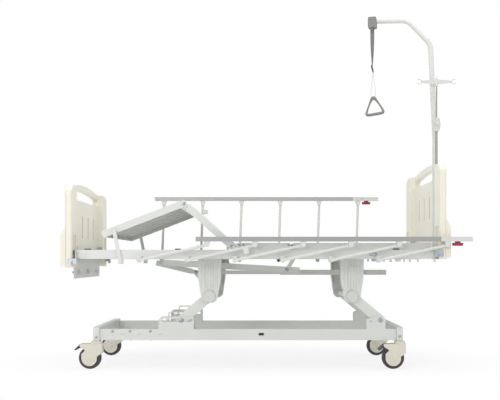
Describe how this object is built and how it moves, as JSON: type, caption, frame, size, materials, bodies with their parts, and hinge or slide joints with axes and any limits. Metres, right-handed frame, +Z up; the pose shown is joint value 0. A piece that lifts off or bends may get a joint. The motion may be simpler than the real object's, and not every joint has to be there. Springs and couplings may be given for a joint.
{
  "type": "hospital bed",
  "caption": "Manual hospital bed: castored base, crossed lift arms, hinged perforated deck, folding side rails, slotted end panels, trapeze pole and infusion pole.",
  "frame": {"origin": "on the floor below the middle of the whole outline", "axes": "+X towards the head end, +Y to the far side in the picture, +Z up"},
  "size_m": [2.2448, 0.996, 2.0319],
  "materials": {
    "cream_plastic": "satin",
    "painted_steel": "satin",
    "rail_aluminium": "satin",
    "castor_cover": "satin",
    "castor_tread": "matte",
    "pedal_plastic": "matte",
    "zinc": "satin",
    "chrome_steel": "polished",
    "grey_plastic": "satin",
    "webbing": "matte",
    "red_plastic": "gloss",
    "white_plastic": "satin"
  },
  "bodies": {
    "base": {"base_frame": "painted_steel"},
    "head_lift": {"head_lift_arms": "painted_steel"},
    "frame": {"upper_frame": "painted_steel", "leg_boxes": "painted_steel", "pivot_caps": "white_plastic", "seat_section": "painted_steel", "panel_latches": "chrome_steel", "corner_plates": "zinc", "iv_pole_tube": "chrome_steel", "iv_pole_clamp": "white_plastic"},
    "foot_lift": {"foot_lift_arms": "painted_steel"},
    "height_tube": {"height_drive_tube": "painted_steel"},
    "height_rod": {"height_drive_rod": "painted_steel"},
    "back": {"back_section": "painted_steel"},
    "back_drive": {"back_drive_tube": "painted_steel"},
    "thigh": {"thigh_section": "painted_steel"},
    "calf": {"calf_section": "painted_steel"},
    "knee_drive": {"knee_drive_tube": "painted_steel"},
    "support": {"calf_support": "painted_steel"},
    "foot_end": {"foot_panel": "cream_plastic"},
    "head_end": {"head_panel": "cream_plastic"},
    "crank_1": {"crank_back": "grey_plastic"},
    "crank_2": {"crank_height": "grey_plastic"},
    "crank_3": {"crank_knee": "grey_plastic"},
    "trapeze": {"trapeze_pole": "painted_steel", "trapeze_end_block": "grey_plastic"},
    "strap": {"trapeze_strap": "webbing"},
    "grip": {"trapeze_grip": "grey_plastic"},
    "iv_rod": {"iv_pole_rod": "chrome_steel", "iv_pole_hooks": "white_plastic"},
    "near_post_1": {"near_rail_post_1": "painted_steel"},
    "near_post_2": {"near_rail_post_2": "painted_steel"},
    "near_post_3": {"near_rail_post_3": "painted_steel"},
    "near_post_4": {"near_rail_post_4": "painted_steel"},
    "near_post_5": {"near_rail_post_5": "painted_steel"},
    "near_post_6": {"near_rail_post_6": "painted_steel"},
    "near_bar": {"near_rail_bar": "rail_aluminium", "near_rail_end_cap": "white_plastic"},
    "near_release": {"near_rail_release": "red_plastic"},
    "far_post_1": {"far_rail_post_1": "painted_steel"},
    "far_post_2": {"far_rail_post_2": "painted_steel"},
    "far_post_3": {"far_rail_post_3": "painted_steel"},
    "far_post_4": {"far_rail_post_4": "painted_steel"},
    "far_post_5": {"far_rail_post_5": "painted_steel"},
    "far_post_6": {"far_rail_post_6": "painted_steel"},
    "far_bar": {"far_rail_bar": "rail_aluminium", "far_rail_end_cap": "white_plastic"},
    "far_release": {"far_rail_release": "red_plastic"},
    "castor_foot_near": {"castor_foot_near_fork": "castor_cover"},
    "castor_foot_near_roll": {"castor_foot_near_wheel": "castor_tread"},
    "castor_foot_near_brake": {"castor_foot_near_pedal": "pedal_plastic"},
    "castor_foot_far": {"castor_foot_far_fork": "castor_cover"},
    "castor_foot_far_roll": {"castor_foot_far_wheel": "castor_tread"},
    "castor_foot_far_brake": {"castor_foot_far_pedal": "pedal_plastic"},
    "castor_head_near": {"castor_head_near_fork": "castor_cover"},
    "castor_head_near_roll": {"castor_head_near_wheel": "castor_tread"},
    "castor_head_near_brake": {"castor_head_near_pedal": "pedal_plastic"},
    "castor_head_far": {"castor_head_far_fork": "castor_cover"},
    "castor_head_far_roll": {"castor_head_far_wheel": "castor_tread"},
    "castor_head_far_brake": {"castor_head_far_pedal": "pedal_plastic"}
  },
  "joints": [
    {"name": "bed_height", "type": "hinge", "parent": "base", "child": "head_lift", "pos_m": [0.65345, 0, 0.27502], "axis": [0, 1, 0], "range_deg": [-37, 10]},
    {"name": "frame_levels", "type": "hinge", "parent": "head_lift", "child": "frame", "pos_m": [0.49258, 0, 0.41], "axis": [0, 1, 0], "range_deg": [-10, 37]},
    {"name": "foot_arms_turn", "type": "hinge", "parent": "frame", "child": "foot_lift", "pos_m": [-0.31542, 0, 0.41], "axis": [0, 1, 0], "range_deg": [-10, 37]},
    {"name": "height_rod_levels", "type": "hinge", "parent": "foot_lift", "child": "height_rod", "pos_m": [-0.4247, 0, 0.54023], "axis": [0, 1, 0], "range_deg": [-37, 10]},
    {"name": "height_tube_levels", "type": "hinge", "parent": "head_lift", "child": "height_tube", "pos_m": [0.60185, 0, 0.54023], "axis": [0, 1, 0], "range_deg": [-10, 37]},
    {"name": "back_raise", "type": "hinge", "parent": "frame", "child": "back", "pos_m": [0.16058, 0, 0.69], "axis": [0, 1, 0], "range_deg": [-75, 0]},
    {"name": "back_drive_swings", "type": "hinge", "parent": "back", "child": "back_drive", "pos_m": [0.13158, 0, 0.558], "axis": [0, 1, 0], "range_deg": [0, 70]},
    {"name": "knee_raise", "type": "hinge", "parent": "frame", "child": "thigh", "pos_m": [-0.18342, 0, 0.69], "axis": [0, 1, 0], "range_deg": [-41.7, 3.3]},
    {"name": "calf_follows", "type": "hinge", "parent": "thigh", "child": "calf", "pos_m": [-0.44923, 0, 0.92682], "axis": [0, 1, 0], "range_deg": [-5.07, 62.9]},
    {"name": "knee_drive_swings", "type": "hinge", "parent": "thigh", "child": "knee_drive", "pos_m": [-0.22838, 0, 0.59746], "axis": [0, 1, 0], "range_deg": [-3.3, 41.7]},
    {"name": "support_swings", "type": "hinge", "parent": "frame", "child": "support", "pos_m": [-0.79242, 0, 0.606], "axis": [0, 1, 0], "range_deg": [-50.06, 4.05]},
    {"name": "foot_panel_lifts", "type": "slide", "parent": "frame", "child": "foot_end", "axis": [0, 0, 1], "range_m": [0, 0.12]},
    {"name": "head_panel_lifts", "type": "slide", "parent": "frame", "child": "head_end", "axis": [0, 0, 1], "range_m": [0, 0.12]},
    {"name": "crank_1_turns", "type": "hinge", "parent": "frame", "child": "crank_1", "pos_m": [-1.07612, -0.225, 0.545], "axis": [1, 0, 0], "continuous": true},
    {"name": "crank_2_turns", "type": "hinge", "parent": "frame", "child": "crank_2", "pos_m": [-1.07612, 0, 0.545], "axis": [1, 0, 0], "continuous": true},
    {"name": "crank_3_turns", "type": "hinge", "parent": "frame", "child": "crank_3", "pos_m": [-1.07612, 0.225, 0.545], "axis": [1, 0, 0], "continuous": true},
    {"name": "trapeze_swivels", "type": "hinge", "parent": "frame", "child": "trapeze", "pos_m": [0.96758, -0.275, 0.632], "axis": [0, 0, 1], "range_deg": [-60, 60]},
    {"name": "strap_swings", "type": "hinge", "parent": "trapeze", "child": "strap", "pos_m": [0.62713, -0.17092, 1.9624], "axis": [0.2924, 0.9563, 0], "range_deg": [-20, 20]},
    {"name": "grip_swings", "type": "hinge", "parent": "strap", "child": "grip", "pos_m": [0.62216, -0.16939, 1.7574], "axis": [0.2924, 0.9563, 0], "range_deg": [-15, 15]},
    {"name": "iv_rod_slides", "type": "slide", "parent": "frame", "child": "iv_rod", "axis": [0, 0, 1], "range_m": [-0.15, 0.35]},
    {"name": "near_rail_post_1_folds", "type": "hinge", "parent": "frame", "child": "near_post_1", "pos_m": [-0.68842, -0.485, 0.614], "axis": [0, 1, 0], "range_deg": [-75.4, 0]},
    {"name": "near_rail_post_2_folds", "type": "hinge", "parent": "frame", "child": "near_post_2", "pos_m": [-0.42742, -0.485, 0.614], "axis": [0, 1, 0], "range_deg": [-75.4, 0]},
    {"name": "near_rail_post_3_folds", "type": "hinge", "parent": "frame", "child": "near_post_3", "pos_m": [-0.16642, -0.485, 0.614], "axis": [0, 1, 0], "range_deg": [-75.4, 0]},
    {"name": "near_rail_post_4_folds", "type": "hinge", "parent": "frame", "child": "near_post_4", "pos_m": [0.09458, -0.485, 0.614], "axis": [0, 1, 0], "range_deg": [-75.4, 0]},
    {"name": "near_rail_post_5_folds", "type": "hinge", "parent": "frame", "child": "near_post_5", "pos_m": [0.35558, -0.485, 0.614], "axis": [0, 1, 0], "range_deg": [-75.4, 0]},
    {"name": "near_rail_post_6_folds", "type": "hinge", "parent": "frame", "child": "near_post_6", "pos_m": [0.61658, -0.485, 0.614], "axis": [0, 1, 0], "range_deg": [-75.4, 0]},
    {"name": "near_rail_bar_levels", "type": "hinge", "parent": "near_post_1", "child": "near_bar", "pos_m": [-0.31758, -0.485, 0.69689], "axis": [0, 1, 0], "range_deg": [0, 75.4]},
    {"name": "near_rail_release_presses", "type": "slide", "parent": "near_bar", "child": "near_release", "axis": [0, 0, 1], "range_m": [0, 0.005], "stiffness_N_per_m": 900},
    {"name": "far_rail_post_1_folds", "type": "hinge", "parent": "frame", "child": "far_post_1", "pos_m": [-0.68842, 0.485, 0.614], "axis": [0, 1, 0], "range_deg": [0, 75.4]},
    {"name": "far_rail_post_2_folds", "type": "hinge", "parent": "frame", "child": "far_post_2", "pos_m": [-0.42742, 0.485, 0.614], "axis": [0, 1, 0], "range_deg": [0, 75.4]},
    {"name": "far_rail_post_3_folds", "type": "hinge", "parent": "frame", "child": "far_post_3", "pos_m": [-0.16642, 0.485, 0.614], "axis": [0, 1, 0], "range_deg": [0, 75.4]},
    {"name": "far_rail_post_4_folds", "type": "hinge", "parent": "frame", "child": "far_post_4", "pos_m": [0.09458, 0.485, 0.614], "axis": [0, 1, 0], "range_deg": [0, 75.4]},
    {"name": "far_rail_post_5_folds", "type": "hinge", "parent": "frame", "child": "far_post_5", "pos_m": [0.35558, 0.485, 0.614], "axis": [0, 1, 0], "range_deg": [0, 75.4]},
    {"name": "far_rail_post_6_folds", "type": "hinge", "parent": "frame", "child": "far_post_6", "pos_m": [0.61658, 0.485, 0.614], "axis": [0, 1, 0], "range_deg": [0, 75.4]},
    {"name": "far_rail_bar_levels", "type": "hinge", "parent": "far_post_1", "child": "far_bar", "pos_m": [-0.67516, 0.485, 0.99377], "axis": [0, 1, 0], "range_deg": [-75.4, 0]},
    {"name": "far_rail_release_presses", "type": "slide", "parent": "far_bar", "child": "far_release", "axis": [0, 0, 1], "range_m": [0, 0.005], "stiffness_N_per_m": 900},
    {"name": "castor_foot_near_swivels", "type": "hinge", "parent": "base", "child": "castor_foot_near", "pos_m": [-0.95492, -0.3, 0.18], "axis": [0, 0, 1], "continuous": true},
    {"name": "castor_foot_near_rolls", "type": "hinge", "parent": "castor_foot_near", "child": "castor_foot_near_roll", "pos_m": [-0.99192, -0.3, 0.0625], "axis": [0, 1, 0], "continuous": true},
    {"name": "castor_foot_near_brake_presses", "type": "hinge", "parent": "castor_foot_near", "child": "castor_foot_near_brake", "pos_m": [-1.02792, -0.3, 0.1245], "axis": [0, 1, 0], "range_deg": [-14, 0], "stiffness_Nm_per_rad": 6},
    {"name": "castor_foot_far_swivels", "type": "hinge", "parent": "base", "child": "castor_foot_far", "pos_m": [-0.95492, 0.3, 0.18], "axis": [0, 0, 1], "continuous": true},
    {"name": "castor_foot_far_rolls", "type": "hinge", "parent": "castor_foot_far", "child": "castor_foot_far_roll", "pos_m": [-0.99192, 0.3, 0.0625], "axis": [0, 1, 0], "continuous": true},
    {"name": "castor_foot_far_brake_presses", "type": "hinge", "parent": "castor_foot_far", "child": "castor_foot_far_brake", "pos_m": [-1.02792, 0.3, 0.1245], "axis": [0, 1, 0], "range_deg": [-14, 0], "stiffness_Nm_per_rad": 6},
    {"name": "castor_head_near_swivels", "type": "hinge", "parent": "base", "child": "castor_head_near", "pos_m": [0.76108, -0.3, 0.18], "axis": [0, 0, 1], "continuous": true},
    {"name": "castor_head_near_rolls", "type": "hinge", "parent": "castor_head_near", "child": "castor_head_near_roll", "pos_m": [0.72408, -0.3, 0.0625], "axis": [0, 1, 0], "continuous": true},
    {"name": "castor_head_near_brake_presses", "type": "hinge", "parent": "castor_head_near", "child": "castor_head_near_brake", "pos_m": [0.68808, -0.3, 0.1245], "axis": [0, 1, 0], "range_deg": [-14, 0], "stiffness_Nm_per_rad": 6},
    {"name": "castor_head_far_swivels", "type": "hinge", "parent": "base", "child": "castor_head_far", "pos_m": [0.76108, 0.3, 0.18], "axis": [0, 0, 1], "continuous": true},
    {"name": "castor_head_far_rolls", "type": "hinge", "parent": "castor_head_far", "child": "castor_head_far_roll", "pos_m": [0.72408, 0.3, 0.0625], "axis": [0, 1, 0], "continuous": true},
    {"name": "castor_head_far_brake_presses", "type": "hinge", "parent": "castor_head_far", "child": "castor_head_far_brake", "pos_m": [0.68808, 0.3, 0.1245], "axis": [0, 1, 0], "range_deg": [-14, 0], "stiffness_Nm_per_rad": 6}
  ],
  "couplings": [
    {"joint": "frame_levels", "follows": "bed_height", "ratio": -1},
    {"joint": "foot_arms_turn", "follows": "bed_height", "ratio": -1},
    {"joint": "height_rod_levels", "follows": "bed_height", "ratio": 1},
    {"joint": "height_tube_levels", "follows": "bed_height", "ratio": -1},
    {"joint": "back_drive_swings", "follows": "back_raise", "ratio": -0.915},
    {"joint": "calf_follows", "follows": "knee_raise", "ratio": -1.506},
    {"joint": "knee_drive_swings", "follows": "knee_raise", "ratio": -1},
    {"joint": "support_swings", "follows": "knee_raise", "ratio": 1.1981},
    {"joint": "near_rail_post_2_folds", "follows": "near_rail_post_1_folds", "ratio": 1},
    {"joint": "near_rail_post_3_folds", "follows": "near_rail_post_1_folds", "ratio": 1},
    {"joint": "near_rail_post_4_folds", "follows": "near_rail_post_1_folds", "ratio": 1},
    {"joint": "near_rail_post_5_folds", "follows": "near_rail_post_1_folds", "ratio": 1},
    {"joint": "near_rail_post_6_folds", "follows": "near_rail_post_1_folds", "ratio": 1},
    {"joint": "near_rail_bar_levels", "follows": "near_rail_post_1_folds", "ratio": -1},
    {"joint": "far_rail_post_2_folds", "follows": "far_rail_post_1_folds", "ratio": 1},
    {"joint": "far_rail_post_3_folds", "follows": "far_rail_post_1_folds", "ratio": 1},
    {"joint": "far_rail_post_4_folds", "follows": "far_rail_post_1_folds", "ratio": 1},
    {"joint": "far_rail_post_5_folds", "follows": "far_rail_post_1_folds", "ratio": 1},
    {"joint": "far_rail_post_6_folds", "follows": "far_rail_post_1_folds", "ratio": 1},
    {"joint": "far_rail_bar_levels", "follows": "far_rail_post_1_folds", "ratio": -1}
  ]
}
